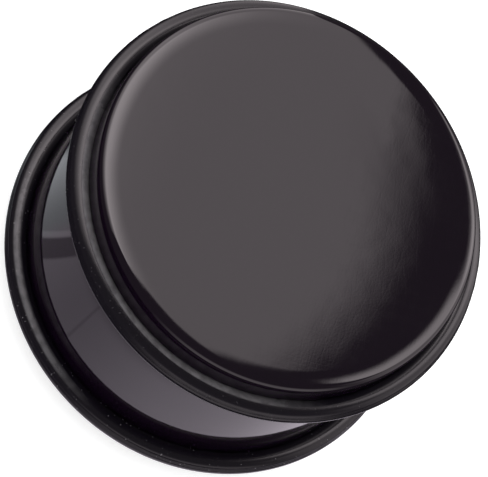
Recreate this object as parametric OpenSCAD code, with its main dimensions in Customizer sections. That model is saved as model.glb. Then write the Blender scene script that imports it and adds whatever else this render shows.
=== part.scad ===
// Straight ear plug held by two rubber O-rings, standing on its back face.
// Millimetres, +Z along the plug's axis, origin at the centre of the back face.

/* [Plug] */
// Diameter of the barrel, which is the plug's gauge
barrel_d = 25; // [12:0.5:50]
// Length between the two O-rings, where the ear lobe sits
lobe_len = 10.3; // [6:0.1:16]
// Length that stands out past each O-ring
lip_len = 1.9; // [1.2:0.1:5]
// Radius of the polished edge round each face
edge_r = 0.45; // [0.1:0.05:0.9]
// Depth of the shallow groove that keeps an O-ring in place
groove_depth = 0.25; // [0.1:0.05:0.35]

/* [O-rings] */
// Thickness of the rubber cord of an O-ring
cord_d = 1.5; // [0.8:0.1:3]
// Clearance between an O-ring and its groove
ring_gap = 0.02; // [0.01:0.01:0.05]

/* [Hidden] */
$fn = 128;
barrel_r = barrel_d / 2;
cord_r = cord_d / 2;
plug_len = lobe_len + 2 * cord_d + 2 * lip_len;
rear_ring_z = lip_len + cord_r;
front_ring_z = rear_ring_z + lobe_len + cord_d;
seat_r = cord_r + ring_gap;
ring_centre_r = barrel_r - groove_depth + seat_r;
acrylic_colour = [0.12, 0.11, 0.12];
rubber_colour = [0.07, 0.065, 0.07];

// Half outline of the bar: two outer corners are rounded
module bar_outline() {
    square([barrel_r - edge_r, plug_len]);
    translate([0, edge_r]) square([barrel_r, plug_len - 2 * edge_r]);
    for (corner_z = [edge_r, plug_len - edge_r])
        translate([barrel_r - edge_r, corner_z]) circle(edge_r);
}

// Section of a ring's seat: the ring's own cord with its clearance round it
module seat_outline(ring_z) {
    translate([ring_centre_r, ring_z]) circle(seat_r);
}

// Solid turned plug: flat polished faces and a seat groove for each ring
module plug() {
    color(acrylic_colour)
        rotate_extrude()
            difference() {
                bar_outline();
                for (ring_z = [rear_ring_z, front_ring_z]) seat_outline(ring_z);
            }
}

// Rubber ring of round cord that sits in the groove at height ring_z
module o_ring(ring_z) {
    color(rubber_colour)
        translate([0, 0, ring_z])
            rotate_extrude()
                translate([ring_centre_r, 0]) circle(cord_r);
}

module front_o_ring() {
    o_ring(front_ring_z);
}

module rear_o_ring() {
    o_ring(rear_ring_z);
}

plug();
front_o_ring();
rear_o_ring();
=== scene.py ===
# %% [markdown]
# # A black ear plug with two O-rings
#
# The real thing is turned from a bar of black acrylic, buffed until it mirrors the
# lamps, and held in a stretched lobe by two rubber O-rings. Black and glossy things
# show almost none of their own colour. What the eye reads is the shape of the light
# that they mirror, so this lesson spends as much care on the light as on the plug.
#
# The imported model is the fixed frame. Every size that follows is read from its three
# nodes, and only what the nodes can't say, such as a buffed edge, is a value here.

import bpy
import numpy as np
from mathutils import Matrix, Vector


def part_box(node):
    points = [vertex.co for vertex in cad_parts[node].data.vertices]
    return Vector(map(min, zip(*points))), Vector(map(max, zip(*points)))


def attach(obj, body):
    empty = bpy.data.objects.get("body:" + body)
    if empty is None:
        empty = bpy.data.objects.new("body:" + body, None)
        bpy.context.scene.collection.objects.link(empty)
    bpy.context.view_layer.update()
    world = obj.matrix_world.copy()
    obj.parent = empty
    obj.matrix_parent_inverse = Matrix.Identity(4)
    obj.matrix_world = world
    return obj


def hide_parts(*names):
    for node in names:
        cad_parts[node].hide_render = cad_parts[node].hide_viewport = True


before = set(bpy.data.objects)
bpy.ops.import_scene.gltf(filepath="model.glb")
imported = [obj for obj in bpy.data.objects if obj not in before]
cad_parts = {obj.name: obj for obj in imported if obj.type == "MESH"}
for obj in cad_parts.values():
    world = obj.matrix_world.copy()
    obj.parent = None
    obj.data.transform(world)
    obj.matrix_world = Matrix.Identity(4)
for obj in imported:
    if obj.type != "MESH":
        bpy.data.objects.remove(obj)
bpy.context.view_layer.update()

MM = 0.001

# %% Read the sizes of the plug and its rings
plug_low, plug_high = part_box("plug")
barrel_r = plug_high.x
plug_len = plug_high.z - plug_low.z


def ring_sizes(node):
    """Cord radius, radius of the cord's centre circle and height of a ring's centre."""
    low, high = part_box(node)
    cord_r = (high.z - low.z) / 2
    return cord_r, high.x - cord_r, (high.z + low.z) / 2


cord_r, ring_centre_r, front_z = ring_sizes("front_o_ring")
rear_z = ring_sizes("rear_o_ring")[2]
print("barrel", barrel_r, "length", plug_len, "cord", cord_r, "rings at", rear_z, front_z)

# %% [markdown]
# ## The camera
#
# The photographer looked steeply down at the plug from more than ten plug widths away
# with a long lens, and turned the picture so that the plug leans over. The camera is
# put at that height and distance, and aimed a little off the front ring's centre,
# because the plug doesn't sit in the middle of the picture.

# %% Put the camera in its place
VIEW_TILT = np.radians(28.68)
VIEW_ROLL = np.radians(40.44 - 90)
CAMERA_DISTANCE = 302.94 * MM
FOCAL_PX = 4886.5
PICTURE_W = 488
AIM_RIGHT_PX = 32.1
AIM_UP_PX = 29.4
SENSOR_W = 36


def make_camera():
    """Aim a camera at the front ring, roll it, and turn it aside by the two offsets."""
    forward = np.array([0, np.sin(VIEW_TILT), -np.cos(VIEW_TILT)])
    level_right = np.array([1.0, 0, 0])
    level_up = np.cross(level_right, forward)
    right = np.cos(VIEW_ROLL) * level_right - np.sin(VIEW_ROLL) * level_up
    up = np.sin(VIEW_ROLL) * level_right + np.cos(VIEW_ROLL) * level_up
    target = np.array([0, 0, front_z])
    aim = forward - AIM_RIGHT_PX / FOCAL_PX * right - AIM_UP_PX / FOCAL_PX * up
    back = -aim / np.linalg.norm(aim)
    right = np.cross(up, back)
    right /= np.linalg.norm(right)
    place = np.eye(4)
    place[:3, 0] = right
    place[:3, 1] = np.cross(back, right)
    place[:3, 2] = back
    place[:3, 3] = target - CAMERA_DISTANCE * forward
    lens = bpy.data.cameras.new("camera")
    lens.sensor_width = SENSOR_W
    lens.lens = FOCAL_PX / PICTURE_W * SENSOR_W
    lens.clip_start = 10 * MM
    lens.clip_end = 20
    camera = bpy.data.objects.new("camera", lens)
    camera.matrix_world = Matrix(place.tolist())
    bpy.context.scene.collection.objects.link(camera)
    bpy.context.scene.camera = camera
    return camera


camera = make_camera()
print("camera at", list(camera.location), "lens", camera.data.lens)

# %% [markdown]
# ## Turned shapes
#
# A lathe holds the bar and a tool draws the outline. In numpy that is one table of
# outline points, radius and height, carried round the axis. It could be a Screw
# modifier on a curve, but whole arrays leave the choice of where the rows of faces
# lie, and a mirror finish shows every badly placed row.

# %% A profile carried round the axis
TURN_STEPS = 360
turn_angles = np.linspace(0, 2 * np.pi, TURN_STEPS, endpoint=False)


def ring_of_quads(rows, columns, rows_closed):
    """Corner numbers of the quads on a grid whose columns close into a loop."""
    row = np.arange(rows if rows_closed else rows - 1)[:, None]
    column = np.arange(columns)[None, :]
    next_row = (row + 1) % rows
    next_column = (column + 1) % columns
    corners = [
        row * columns + column,
        row * columns + next_column,
        next_row * columns + next_column,
        next_row * columns + column,
    ]
    return np.stack(np.broadcast_arrays(*corners), axis=-1).reshape(-1, 4)


def turned_points(radius, height):
    """Point = (radius cos a, radius sin a, height), row by row, for each turn angle a.

    Radius and height have one row per outline point, and one column, or one for each
    turn angle where the outline changes on its way round.
    """
    level = height + 0 * turn_angles
    reach = radius + 0 * turn_angles
    return np.stack([reach * np.cos(turn_angles), reach * np.sin(turn_angles), level], -1)


def mesh_object(name, points, faces):
    """Put whole arrays of points and faces into a smooth mesh object at the origin."""
    mesh = bpy.data.meshes.new(name)
    mesh.from_pydata(points.tolist(), [], faces)
    mesh.polygons.foreach_set("use_smooth", np.ones(len(mesh.polygons), bool))
    mesh.update()
    made = bpy.data.objects.new(name, mesh)
    bpy.context.scene.collection.objects.link(made)
    print(name, "has", len(mesh.vertices), "points and", len(mesh.polygons), "faces")
    return made


# %% [markdown]
# ## The plug
#
# A buffing wheel never leaves a flat face quite flat. It rolls the face off over the
# last millimetre, turns the corner in a small round, and eases into the barrel. That
# soft roll is what draws the pale line round the face, so the outline has it as three
# stretches: a parabola, an arc and a second parabola. Each ring sits in a shallow
# seat, cut as an arc a hair wider than the cord.

# %% The buffed corner
ROLL_WIDTH = 0.9 * MM
ROLL_TILT = np.radians(4)
CORNER_R = 0.42 * MM
EASE_WIDTH = 0.35 * MM
EASE_TILT = np.radians(3)
ROLL_ROWS = 16
ARC_ROWS = 17
EASE_ROWS = 7


def buffed_corner():
    """Outline from the end face to the barrel, as radius and depth below the face.

    The roll is a parabola whose slope grows from flat to ROLL_TILT. The arc turns from
    there to EASE_TILT short of upright, and the ease is a parabola that ends upright.
    """
    ease_in = EASE_WIDTH * np.tan(EASE_TILT) / 2
    arc_start_r = barrel_r - ease_in - CORNER_R * (np.cos(EASE_TILT) - np.sin(ROLL_TILT))
    share = np.linspace(0, 1, ROLL_ROWS)
    roll_r = arc_start_r - ROLL_WIDTH * (1 - share)
    roll_depth = ROLL_WIDTH * np.tan(ROLL_TILT) / 2 * share**2
    turn = np.linspace(ROLL_TILT, np.pi / 2 - EASE_TILT, ARC_ROWS + 1)[1:]
    arc_r = arc_start_r + CORNER_R * (np.sin(turn) - np.sin(ROLL_TILT))
    arc_depth = roll_depth[-1] + CORNER_R * (np.cos(ROLL_TILT) - np.cos(turn))
    left = 1 - np.linspace(0, 1, EASE_ROWS + 1)[1:]
    ease_r = barrel_r - ease_in * left**2
    ease_depth = arc_depth[-1] + EASE_WIDTH * (1 - left)
    radius = np.concatenate([roll_r, arc_r, ease_r])
    return np.stack([radius, np.concatenate([roll_depth, arc_depth, ease_depth])], -1)


# %% The seat under a ring
SEAT_CLEARANCE = 0.02 * MM
SEAT_ROWS = 17


def ring_seat(height):
    """Arc of the seat: centre on the cord's own centre, a clearance wider than it."""
    seat_r = cord_r + SEAT_CLEARANCE
    reach = np.arccos((ring_centre_r - barrel_r) / seat_r)
    turn = np.linspace(-reach, reach, SEAT_ROWS)
    radius = ring_centre_r - seat_r * np.cos(turn)
    return np.stack([radius, height + seat_r * np.sin(turn)], -1)


# %% Turn the plug
ROW_BESIDE_CORNER = 0.02 * MM
BARREL_ROWS = 6
FACE_ROWS = 12


def barrel_rows(low, high):
    """Rows of straight barrel between two corners, with one close beside each corner."""
    height = np.concatenate([
        [low + ROW_BESIDE_CORNER],
        np.linspace(low, high, BARREL_ROWS + 2)[1:-1],
        [high - ROW_BESIDE_CORNER],
    ])
    return np.stack([barrel_r + 0 * height, height], -1)


def plug_outline():
    """Whole outline from the back face's centre, round both seats, to the front's."""
    corner = buffed_corner()
    face_r = np.linspace(0, corner[0, 0], FACE_ROWS + 2)[1:-1]
    back = np.concatenate([np.stack([face_r, 0 * face_r], -1), corner])
    front = back[::-1] * [1, -1] + [0, plug_len]
    rear_seat = ring_seat(rear_z)
    front_seat = ring_seat(front_z)
    return np.concatenate([
        back,
        barrel_rows(back[-1, 1], rear_seat[0, 1]),
        rear_seat,
        barrel_rows(rear_seat[-1, 1], front_seat[0, 1]),
        front_seat,
        barrel_rows(front_seat[-1, 1], front[0, 1]),
        front,
    ])


def make_plug():
    """Turn the outline, and close both ends with a fan of faces round a centre point."""
    outline = plug_outline()
    points = turned_points(outline[:, 0, None], outline[:, 1, None]).reshape(-1, 3)
    faces = ring_of_quads(len(outline), TURN_STEPS, rows_closed=False).tolist()
    first = np.arange(TURN_STEPS)
    last = first + (len(outline) - 1) * TURN_STEPS
    back_centre = np.full(TURN_STEPS, len(points))
    front_centre = back_centre + 1
    faces += np.stack([back_centre, np.roll(first, -1), first], -1).tolist()
    faces += np.stack([front_centre, last, np.roll(last, -1)], -1).tolist()
    centres = np.array([[0, 0, 0], [0, 0, plug_len]])
    return mesh_object("buffed_plug", np.concatenate([points, centres]), faces)


buffed_plug = make_plug()

# %% [markdown]
# ## The O-rings
#
# An O-ring is pressed between two mould halves, and a fine raised line is left where
# they met. The cord's section is a circle whose radius dips a few hundredths of a
# millimetre on both sides of that line. Rolling a ring on twists it, so the line
# wanders up and down the cord on its way round, and it is nibbled where it was torn
# from its flash.

# %% The moulded rings
CORD_STEPS = 144
PARTING_HEIGHT = 0.045 * MM
LINE_WIDTH = np.radians(2.6)
TRIM_WIDTH = np.radians(10)
MIDDLE_ANGLE = np.radians(17)
TWIST = np.radians(12)
NIBBLE = 0.35
NIBBLE_WAVES = 60


def wander(seed, waves):
    """Smooth random values round the turn: a sum of sines with random phases."""
    random = np.random.default_rng(seed)
    count = np.arange(1, waves + 1)[:, None]
    phase = random.uniform(0, 2 * np.pi, (waves, 1))
    size = random.uniform(0.3, 1, (waves, 1))
    sines = size * np.sin(count * turn_angles + phase)
    return sines.sum(axis=0) / np.sqrt((size**2).sum() / 2)


def make_ring(name, height, twist_side, seed):
    """Carry a circle with a raised line round the plug.

    The line lies at MIDDLE_ANGLE above the cord's waist, plus TWIST times the cosine of
    the turn from twist_side. At the angle c round the cord, the cord's radius is
    cord_r - trim + line, and both are bell curves of the angle between c and the line.
    The bites take up to NIBBLE of the line's height away.
    """
    angle = np.linspace(0, 2 * np.pi, CORD_STEPS, endpoint=False)[:, None]
    line_angle = MIDDLE_ANGLE + TWIST * np.cos(turn_angles - twist_side)
    away = (angle - line_angle + np.pi) % (2 * np.pi) - np.pi
    trim = np.exp(-((away / TRIM_WIDTH) ** 2))
    bites = np.abs(wander(seed, NIBBLE_WAVES)).clip(0, 1)
    line = np.exp(-((away / LINE_WIDTH) ** 2)) * (1 - NIBBLE * bites)
    radius = cord_r + PARTING_HEIGHT * (line - trim)
    points = turned_points(ring_centre_r + radius * np.cos(angle), height + radius * np.sin(angle))
    faces = ring_of_quads(CORD_STEPS, TURN_STEPS, rows_closed=True).tolist()
    return mesh_object(name, points.reshape(-1, 3), faces)


front_ring = make_ring("moulded_front_ring", front_z, np.radians(-40), 4)
rear_ring = make_ring("moulded_rear_ring", rear_z, np.radians(-60), 9)

# %% [markdown]
# ## Shader sums as Python
#
# A finish is mostly arithmetic on noise and distance. Written as Python expressions it
# reads like the sum that it is, and a small class turns each operator into a Math node.

# %% A value that adds its own nodes
DEGREE = 180 / np.pi


class Knob:
    """An output socket that takes part in sums, each of which adds a Math node."""

    def __init__(self, bench, socket):
        self.bench = bench
        self.socket = socket

    def math(self, operation, *others):
        """Add a Math node whose first value is this knob."""
        inputs = dict(enumerate((self, *others)))
        return self.bench.node("ShaderNodeMath", {"operation": operation}, inputs)

    def __add__(self, other):
        return self.math("ADD", other)

    def __sub__(self, other):
        return self.math("SUBTRACT", other)

    def __mul__(self, other):
        return self.math("MULTIPLY", other)

    def __truediv__(self, other):
        return self.math("DIVIDE", other)

    def __rsub__(self, other):
        return self * -1 + other

    def __abs__(self):
        return self.math("ABSOLUTE")

    __radd__ = __add__
    __rmul__ = __mul__


class Bench:
    """The node tree of one material, with one method that adds any kind of node."""

    def __init__(self, name):
        self.material = bpy.data.materials.new(name)
        self.material.use_nodes = True
        self.tree = self.material.node_tree
        self.tree.nodes.clear()
        self.done = self.tree.nodes.new("ShaderNodeOutputMaterial")

    def node(self, kind, settings=None, inputs=None, output=0):
        """Add a node, set its settings, then its sockets, and return one output."""
        made = self.tree.nodes.new(kind)
        for name, value in (settings or {}).items():
            setattr(made, name, value)
        for name, value in (inputs or {}).items():
            if isinstance(value, Knob):
                self.tree.links.new(value.socket, made.inputs[name])
            else:
                made.inputs[name].default_value = value
        return Knob(self, made.outputs[output])

    def place(self):
        """Where the shaded point lies on the object, in millimetres."""
        metres = self.node("ShaderNodeTexCoord", output="Object")
        return self.node("ShaderNodeVectorMath", {"operation": "SCALE"}, {
            "Vector": metres, "Scale": 1 / MM})

    def axes(self, place):
        """The three numbers of a place."""
        split = self.node("ShaderNodeSeparateXYZ", {}, {"Vector": place})
        return [Knob(self, socket) for socket in split.socket.node.outputs]

    def distance(self, across, along):
        """Length of the step that goes this far across and this far along."""
        return (across * across + along * along).math("SQRT")

    def noise(self, place, size, detail=2.0):
        """Soft random values from 0 to 1 in lumps of about this size."""
        return self.node("ShaderNodeTexNoise", {}, {
            "Vector": place, "Scale": 1 / size, "Detail": detail})

    def grain_lines(self, place, heading, length, width):
        """Thin lines, 1 on a line and 0 beside it, that run along one heading.

        They are the level lines of a noise that is stretched along the heading.
        """
        turned = self.node("ShaderNodeMapping", {"vector_type": "TEXTURE"}, {
            "Vector": place, "Rotation": (0, 0, heading), "Scale": (length, width, width)})
        level = abs(self.noise(turned, 1.0, 1.0) - 0.5)
        return 1 - self.ramp(level, 0.0, 0.03)

    def ramp(self, value, low, high, start=0.0, end=1.0):
        """A smooth step from start to end while value goes from low to high."""
        return self.node("ShaderNodeMapRange", {"interpolation_type": "SMOOTHSTEP"}, {
            "Value": value, "From Min": low, "From Max": high,
            "To Min": start, "To Max": end})

    def band(self, value, low_out, low_in, high_in, high_out):
        """A plateau of 1 from low_in to high_in that falls smoothly to 0 on both sides."""
        return self.ramp(value, low_out, low_in) * (1 - self.ramp(value, high_in, high_out))

    def mix(self, share, first, second):
        """A colour that goes from the first to the second while share goes from 0 to 1."""
        return self.node("ShaderNodeMix", {"data_type": "RGBA"}, {
            "Factor": share, 6: (*first, 1), 7: (*second, 1)}, 2)

    def bump(self, height, depth):
        """Normals of a surface that rises by depth, in metres, where height is 1."""
        return self.node("ShaderNodeBump", {}, {"Height": height, "Distance": depth})

    def finish(self, shader, *pieces):
        """Join the shader to the output and give the material to the pieces."""
        self.tree.links.new(shader.socket, self.done.inputs["Surface"])
        for piece in pieces:
            piece.data.materials.clear()
            piece.data.materials.append(self.material)
        print(self.material.name, "has", len(self.tree.nodes), "nodes")


# %% [markdown]
# ## Buffed acrylic
#
# The plug is black all through. Its colour is hardly seen, so the finish is in the
# normals: broad waves left by the wheel, hairlines from the pocket and the jewellery
# box, and a fine pitting where fingers hold it. Each is only microns deep, and shows
# where the edge of a mirrored lamp breaks up. A little of it also dulls the shine.

# %% The finish of the plug
MICRON = 0.001 * MM
WAVE_SIZE = 2.4
WAVE_DEPTH = 4.0
PIT_SIZE = 0.13
PIT_DEPTH = 0.4
HAIR_DEPTH = 0.06
HAIRS = ((0.6, 9.0, 0.9), (-0.9, 7.0, 0.7), (2.0, 12.0, 1.1))
DARKER_ACRYLIC = (0.0018, 0.0003, 0.0025)
PALER_ACRYLIC = (0.0032, 0.0009, 0.0041)


def acrylic():
    """Height in microns = waves + pits - hairlines, and the pits grow toward +X.

    Each entry of HAIRS is one set of lines: its heading, their length and their width.
    """
    bench = Bench("black_acrylic")
    place = bench.place()
    x, y = bench.axes(place)[:2]
    waves = bench.noise(place, WAVE_SIZE, 1.0)
    smear = bench.ramp(bench.noise(place, 3.5), 0.35, 0.7)
    handled = bench.ramp(x + y * 0.2, -2.0, 8.0, 0.15, 1.0)
    pits = bench.noise(place, PIT_SIZE) * handled
    hairs = sum(bench.grain_lines(place, *lines) for lines in HAIRS)
    height = waves * WAVE_DEPTH + pits * PIT_DEPTH - hairs * HAIR_DEPTH
    cloud = bench.noise(place, 0.3, 3.0)
    shader = bench.node("ShaderNodeBsdfPrincipled", {}, {
        "Base Color": bench.mix(cloud, DARKER_ACRYLIC, PALER_ACRYLIC),
        "Roughness": 0.03 + smear * 0.02 + hairs * 0.01,
        "IOR": 1.49,
        "Normal": bench.bump(height, MICRON),
    })
    bench.finish(shader, buffed_plug)


# %% [markdown]
# ## Moulded rubber
#
# The rings are black nitrile rubber. The mould gives them a satin skin, so a lamp
# draws a soft band on them. On the near side of the front ring's inner shoulder, grey
# colour is a painted highlight, where no lamp reaches past the plug's lip. The rear
# ring has a smaller painted highlight on its crown, and keeps some real dust. One sum
# says how grey each point is, and colour and roughness both follow it.

# %% Where the rubber is grey
def greyness(bench, place):
    """How grey the rubber is, from 0 to 1: painted highlight, dust and crumbs of flash together.

    The lean says where a point lies round the cord, as the angle of (inward, above)
    from its centre: 0 degrees on top, 44 where it meets the barrel, -90 at its waist.
    The painted highlight lies on the front ring's inner shoulder, on the near side, and on
    the rear ring's crown, toward the near left; the crumbs lie at the front ring's waist, on the
    left.
    """
    x, y, z = bench.axes(place)
    radius = bench.distance(x, y)
    inward = ring_centre_r / MM - radius
    front_only = bench.ramp(z, rear_z / MM + 2, front_z / MM - 2)
    above = z - rear_z / MM - front_only * ((front_z - rear_z) / MM)
    lean = inward.math("ARCTAN2", above) * DEGREE
    near_side = bench.ramp((y * -0.985 - x * 0.174) / radius, 0.3, 0.85)
    near_left = bench.ramp((y * -0.85 - x * 0.53) / radius, 0.75, 1.0)
    patches = bench.ramp(bench.noise(place, 0.5, 3.0), 0.3, 0.65, 0.6, 1.0)
    # Painted highlight: the shoulder and crown bands turn the rubber grey to stand in for light on
    # the rings.
    shoulder = bench.band(lean, -4, 5, 46, 56) * near_side * front_only
    crown = bench.band(lean, -38, -24, -12, 12) * near_left * (1 - front_only)
    painted_highlight = (shoulder + crown * 0.7) * patches
    crumbs = bench.ramp(bench.noise(place, 0.16, 1.0), 0.58, 0.7)
    crumbs = crumbs * bench.band(lean, -112, -104, -96, -88) * front_only
    crumbs = crumbs * bench.ramp(x / radius, -0.1, -0.6)
    dust = bench.ramp(bench.noise(place, 0.13, 0.0), 0.78, 0.84) * (1 - front_only * 0.7)
    return (painted_highlight * 0.8 + dust * 0.5 + crumbs * 0.4).math("MINIMUM", 1.0)


# %% The finish of the rings
GRAIN_SIZE = 0.1
GRAIN_DEPTH = 0.25
LUMP_SIZE = 0.9
LUMP_DEPTH = 4.0
RUBBER_BLACK = (0.0045, 0.0034, 0.0060)
# Grey of the painted highlight on the rings, and of their real dust and crumbs.
HIGHLIGHT_AND_DUST_GREY = (0.18, 0.17, 0.18)


def rubber():
    """Black rubber that turns grey and duller in its painted highlight, its dust and its crumbs.

    Height in microns = grain + lumps, each a noise of its own size in millimetres.
    """
    bench = Bench("o_ring_rubber")
    place = bench.place()
    grey = greyness(bench, place)
    grain = bench.noise(place, GRAIN_SIZE)
    lumps = bench.noise(place, LUMP_SIZE, 1.0)
    shader = bench.node("ShaderNodeBsdfPrincipled", {}, {
        "Base Color": bench.mix(grey, RUBBER_BLACK, HIGHLIGHT_AND_DUST_GREY),
        "Roughness": 0.15 + grain * 0.08 + grey * 0.3,
        "IOR": 1.5,
        "Specular IOR Level": 0.33,
        "Normal": bench.bump(grain * GRAIN_DEPTH + lumps * LUMP_DEPTH, MICRON),
    })
    bench.finish(shader, front_ring, rear_ring)


acrylic()
rubber()

# %% [markdown]
# ## A floor to stand on
#
# The picture's background is plain white paper. A white floor under a white sky gives
# that, and it is left out of reflections, because here they come from a tent instead.

# %% The floor
FLOOR_R = 3.0
FLOOR_DROP = 0.01 * MM
FLOOR_GLOW = 0.45


def level_sheet(name, radius, height):
    """A flat round sheet about the axis, facing up."""
    rim = turned_points(np.array([[radius]]), np.array([[height]]))[0]
    return mesh_object(name, rim, [list(range(TURN_STEPS))])


def make_floor():
    """A wide matt sheet just under the plug, with a little light of its own."""
    floor = level_sheet("floor", FLOOR_R, -FLOOR_DROP)
    floor.visible_glossy = False
    bench = Bench("white_paper")
    shader = bench.node("ShaderNodeBsdfPrincipled", {}, {
        "Base Color": (0.9, 0.9, 0.9, 1),
        "Roughness": 0.9,
        "Specular IOR Level": 0.0,
        "Emission Color": (1, 1, 1, 1),
        "Emission Strength": FLOOR_GLOW,
    })
    bench.finish(shader, floor)
    return floor


floor = make_floor()

# %% [markdown]
# ## The paper that the barrel mirrors
#
# The barrel faces the floor from the camera's point of view, so it mirrors the paper
# close round the plug. A small glowing sheet stands for it. Only reflections see it,
# so it can be drawn for the barrel alone: a bright round that fades to one side, with
# the shadows of whatever lay on the paper. It is round, because a square sheet's
# corners show as arches in the barrel.

# %% Things that only reflections see
def only_for_reflections(stage_object):
    """Hide an object from the camera, from diffuse light and from shadows."""
    stage_object.visible_camera = False
    stage_object.visible_diffuse = False
    stage_object.visible_shadow = False


def glowing(bench, colour, strength, stage_object):
    """Give an object plain light of this colour and strength."""
    shader = bench.node("ShaderNodeEmission", {}, {"Color": colour, "Strength": strength})
    bench.finish(shader, stage_object)


# %% Light and shade on the paper
BAR_SHADE = 0.62
BAR_EDGE_GLOW = 0.14
LINE_SHADE = 0.22


def paper_light(bench, angle, away):
    """Light by the angle round the plug, in degrees from -Y toward +X.

    It brightens from the left to the right, and again a little at both ends. A dark bar
    lies across it at -42 degrees, with a bright edge on its far side, and a thin dark
    line at -14. All three slant with the distance from the axis. The light is full up
    to 17.5 mm from the axis and gone at 20 mm.
    """
    slant = (away - 16.5) * 1.7
    paper = (bench.ramp(angle, -26, 30, 0.39, 0.77)
             + bench.ramp(angle, 52, 88, 0.0, 0.15)
             + bench.ramp(angle, -52, -76, 0.0, 0.2))
    bar = bench.band(angle - slant, -46.5, -45.5, -39.5, -38.0)
    bar_edge = bench.band(angle - slant, -49.0, -48.0, -47.0, -46.0)
    line = bench.band(angle + slant * 0.4, -15.2, -14.4, -14.0, -13.2)
    shaded = paper * (1 - bar * BAR_SHADE) * (1 - line * LINE_SHADE)
    in_round = (1 - bench.ramp(away, 17.5, 20.0)) * bench.ramp(angle, -86, -76)
    return (shaded + bar_edge * BAR_EDGE_GLOW) * in_round


# %% The lit spot under the plug
SPOT_R = 34 * MM
SPOT_DIM = 0.02
WARM_PAPER = (1.04, 0.94, 1.06)
COOL_PAPER = (0.96, 1.0, 1.06)


def make_lit_spot():
    """A round sheet just under the floor, warm in front of the dark bar and cool behind."""
    spot = level_sheet("lit_spot", SPOT_R, -2 * FLOOR_DROP)
    only_for_reflections(spot)
    bench = Bench("spot_glow")
    x, y = bench.axes(bench.place())[:2]
    angle = x.math("ARCTAN2", y * -1) * DEGREE
    strength = paper_light(bench, angle, bench.distance(x, y)) + SPOT_DIM
    colour = bench.mix(bench.ramp(angle, -46, -54), WARM_PAPER, COOL_PAPER)
    glowing(bench, colour, strength, spot)
    return spot


lit_spot = make_lit_spot()

# %% [markdown]
# ## The light tent
#
# Jewellery is photographed in a tent of white cloth with lamps outside it. Here the
# tent is a large sphere that only reflections see, and its glow is a painting: a big
# soft box on the left, a lamp on the right, and a low strip in front. Each edge that
# shows on the plug, such as the dark crescent on its face, is the edge of one of them.
# Lamps as separate planes would work too, but a curved edge is easier to write down.
# In the sums, x and y are millimetres on the tent, and angles are in degrees.

# %% The soft box
ARC_X = -5.5
ARC_Y = 82.5
BOX_GLOW = 1.72
HOT_GLOW = 3.7


def box_shape(bench, x, y, azimuth, height):
    """1 inside the soft box and 0 outside it, as the product of its edges.

    Right edge: an arc about (ARC_X, ARC_Y), straight below that, and a slanting line at
    the far end. Near edge: a level and a slanting line, blended. Low edge: rises as the
    azimuth goes left.
    """
    right = (x - ARC_X).math("MAXIMUM", 0)
    ahead = (y - ARC_Y).math("MAXIMUM", 0)
    edge = bench.ramp(y, 96, 103, 19.3, 21.0)
    softness = bench.ramp(y, 97, 103.5, 7.3, 1.5)
    past_arc = (bench.distance(right, ahead) - edge) / softness
    in_arc = 1 - bench.ramp(past_arc, -0.625, 0.375)
    far_line = (1 - bench.ramp(x + (y - 103.0) * 0.92, -2, 2)) * bench.ramp(y, 92, 100)
    right_edge = in_arc.math("MAXIMUM", far_line)
    near_edge = bench.ramp(y - (x * 1.75 + 64.5).math("SMOOTH_MIN", 54, 16.0), 0.5, 4.5)
    low_edge = bench.ramp(height + (azimuth + 50.0) * 0.65, -15, 15)
    return right_edge * near_edge * low_edge


def box_level(bench, x, y):
    """Brightness of the soft box: an even glow that grows toward +Y, plus a hot part.

    The hot part rises toward the left, where the lamp stands behind the cloth, and
    fades at the far end, at the near end and along a slanting line on the far left.
    """
    rise = bench.ramp(x * -0.87 - y.math("MINIMUM", 90) * 0.49, -34, -1)
    rise = rise * (rise * 0.65 + 0.35)
    ends = (1 - bench.ramp(y, 92, 128)) * bench.ramp(y, -40, 64)
    far_left = ((y - 60) * 1.72).math("MAXIMUM", 0) - 115
    hot = rise * ends * bench.ramp(x - far_left, -35, 30, 0.3, 1.0)
    return bench.ramp(y, -110, 10, 0.4, BOX_GLOW) + hot * HOT_GLOW


# %% The side lamp and the low strip
CORE_GLOW = 3.5
SIDE_CLOTH_GLOW = 1.2
STRIP_GLOW = 1.1


def side_lamp(bench, x, y, azimuth, height):
    """The lamp on the right: a bright core, and a dim cloth round it and below.

    The core's left edge is an arc about the same point as the soft box's, and its near
    edge is the higher of a level and a slanting line.
    """
    arc = bench.distance(x - ARC_X, y - ARC_Y) - bench.ramp(y, 96, 106, 0.0, 7.0)
    near_edge = bench.ramp(y - (80.5 - x * 0.375).math("MAXIMUM", 55), -2, 6)
    core = (bench.ramp(arc, 33, 45) * bench.band(x, 4, 16, 75, 135)
            * near_edge * (1 - bench.ramp(y, 150, 190)) * bench.ramp(height, -5, 15))
    cloth = bench.band(azimuth, 5, 25, 70, 95) * bench.band(height, -20, 5, 40, 52)
    return core * CORE_GLOW + cloth * SIDE_CLOTH_GLOW


def low_strip(bench, azimuth, height):
    """The long light low down in front, toward +X."""
    strip = bench.band(azimuth, 85, 110, 150, 185) * bench.band(height, -28, -12, 12, 34)
    return strip * STRIP_GLOW


# %% The tent's cloth
TENT_R = 200 * MM
TENT_ROWS = 90
TENT_COLUMNS = 180
LAST_ROW = np.radians(89.9)


def tent_points():
    """Sphere: radius times (cos e sin a, cos e cos a, sin e) for turn a and height e."""
    rise = np.linspace(-LAST_ROW, LAST_ROW, TENT_ROWS)[:, None]
    turn = np.linspace(0, 2 * np.pi, TENT_COLUMNS, endpoint=False)[None, :]
    return TENT_R * np.stack([
        np.cos(rise) * np.sin(turn),
        np.cos(rise) * np.cos(turn),
        np.sin(rise) + 0 * turn,
    ], -1)


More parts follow.
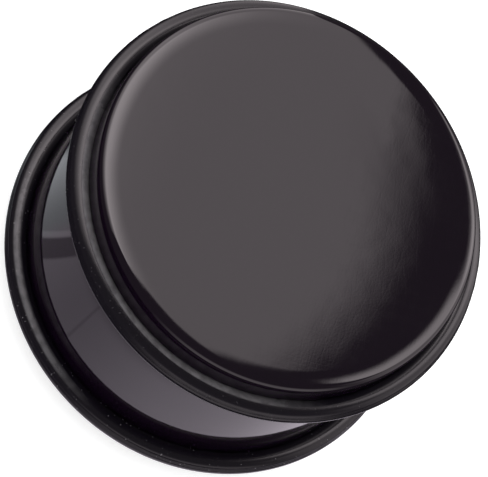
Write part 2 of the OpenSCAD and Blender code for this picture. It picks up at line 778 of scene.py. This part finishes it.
def tent_faces():
    """Quads between the rows, and one face over each pole, which would show as a hole."""
    bottom = list(range(TENT_COLUMNS))
    top = [(TENT_ROWS - 1) * TENT_COLUMNS + column for column in bottom]
    quads = ring_of_quads(TENT_ROWS, TENT_COLUMNS, rows_closed=False).tolist()
    return quads + [bottom[::-1], top]


# %% Paint the tent
LAMP_COLOUR = (1.055, 0.96, 0.985, 1)
DIM_CLOTH = 0.17


def make_tent():
    """Sphere round everything, painted by azimuth from +Y toward +X, and by height."""
    tent = mesh_object("light_tent", tent_points().reshape(-1, 3), tent_faces())
    only_for_reflections(tent)
    bench = Bench("tent_glow")
    x, y, z = bench.axes(bench.place())
    azimuth = x.math("ARCTAN2", y) * DEGREE
    height = (z * (MM / TENT_R)).math("ARCSINE") * DEGREE
    glow = (box_shape(bench, x, y, azimuth, height) * box_level(bench, x, y)
            + side_lamp(bench, x, y, azimuth, height)
            + low_strip(bench, azimuth, height)
            + bench.ramp(height, -25, 5, 0.1, 1.0) * DIM_CLOTH)
    glowing(bench, LAMP_COLOUR, glow, tent)
    return tent


tent = make_tent()

# %% [markdown]
# ## The sky
#
# A white sky lights the floor and the dust. The picture's own curve is the plain one,
# so that white paper comes out white.

# %% Light for the floor
SKY_STRENGTH = 1.3

world = bpy.data.worlds.new("soft_daylight")
bpy.context.scene.world = world
world.use_nodes = True
sky = world.node_tree.nodes["Background"]
sky.inputs["Color"].default_value = (1, 1, 1, 1)
sky.inputs["Strength"].default_value = SKY_STRENGTH
bpy.context.scene.view_settings.view_transform = "Standard"
print("sky strength", SKY_STRENGTH)

# %% [markdown]
# ## Hand over
#
# Each finished piece takes the place of one node of the imported model and goes where
# the body goes.

# %% Put each piece on the body in place of its node
for piece, node, slot in (
    (buffed_plug, "plug", "black_acrylic"),
    (front_ring, "front_o_ring", "o_ring_rubber"),
    (rear_ring, "rear_o_ring", "o_ring_rubber"),
):
    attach(piece, "root")
    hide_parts(node)
